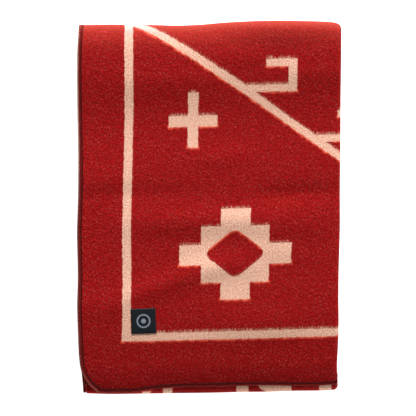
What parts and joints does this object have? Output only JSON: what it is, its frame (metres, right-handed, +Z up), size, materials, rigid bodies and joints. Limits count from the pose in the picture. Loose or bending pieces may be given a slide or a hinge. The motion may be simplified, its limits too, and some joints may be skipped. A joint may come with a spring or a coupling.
{
  "type": "folded wool blanket",
  "caption": "Thick red wool blanket with cream line patterns, folded in four both ways into a flat pack of sixteen layers, with a small sewn-on label.",
  "frame": {"origin": "centre of the pack's bounding box, on the surface it rests on", "axes": "+Z up through the layers, +Y along the pack from the hem end to the end with the two long folds, +X to the side with the folds across"},
  "size_m": [0.3984, 0.5636, 0.0515],
  "materials": {
    "wool_cloth": "matte",
    "woven_label": "satin"
  },
  "bodies": {
    "root": {"blanket": "wool_cloth", "label": "woven_label"}
  },
  "joints": []
}
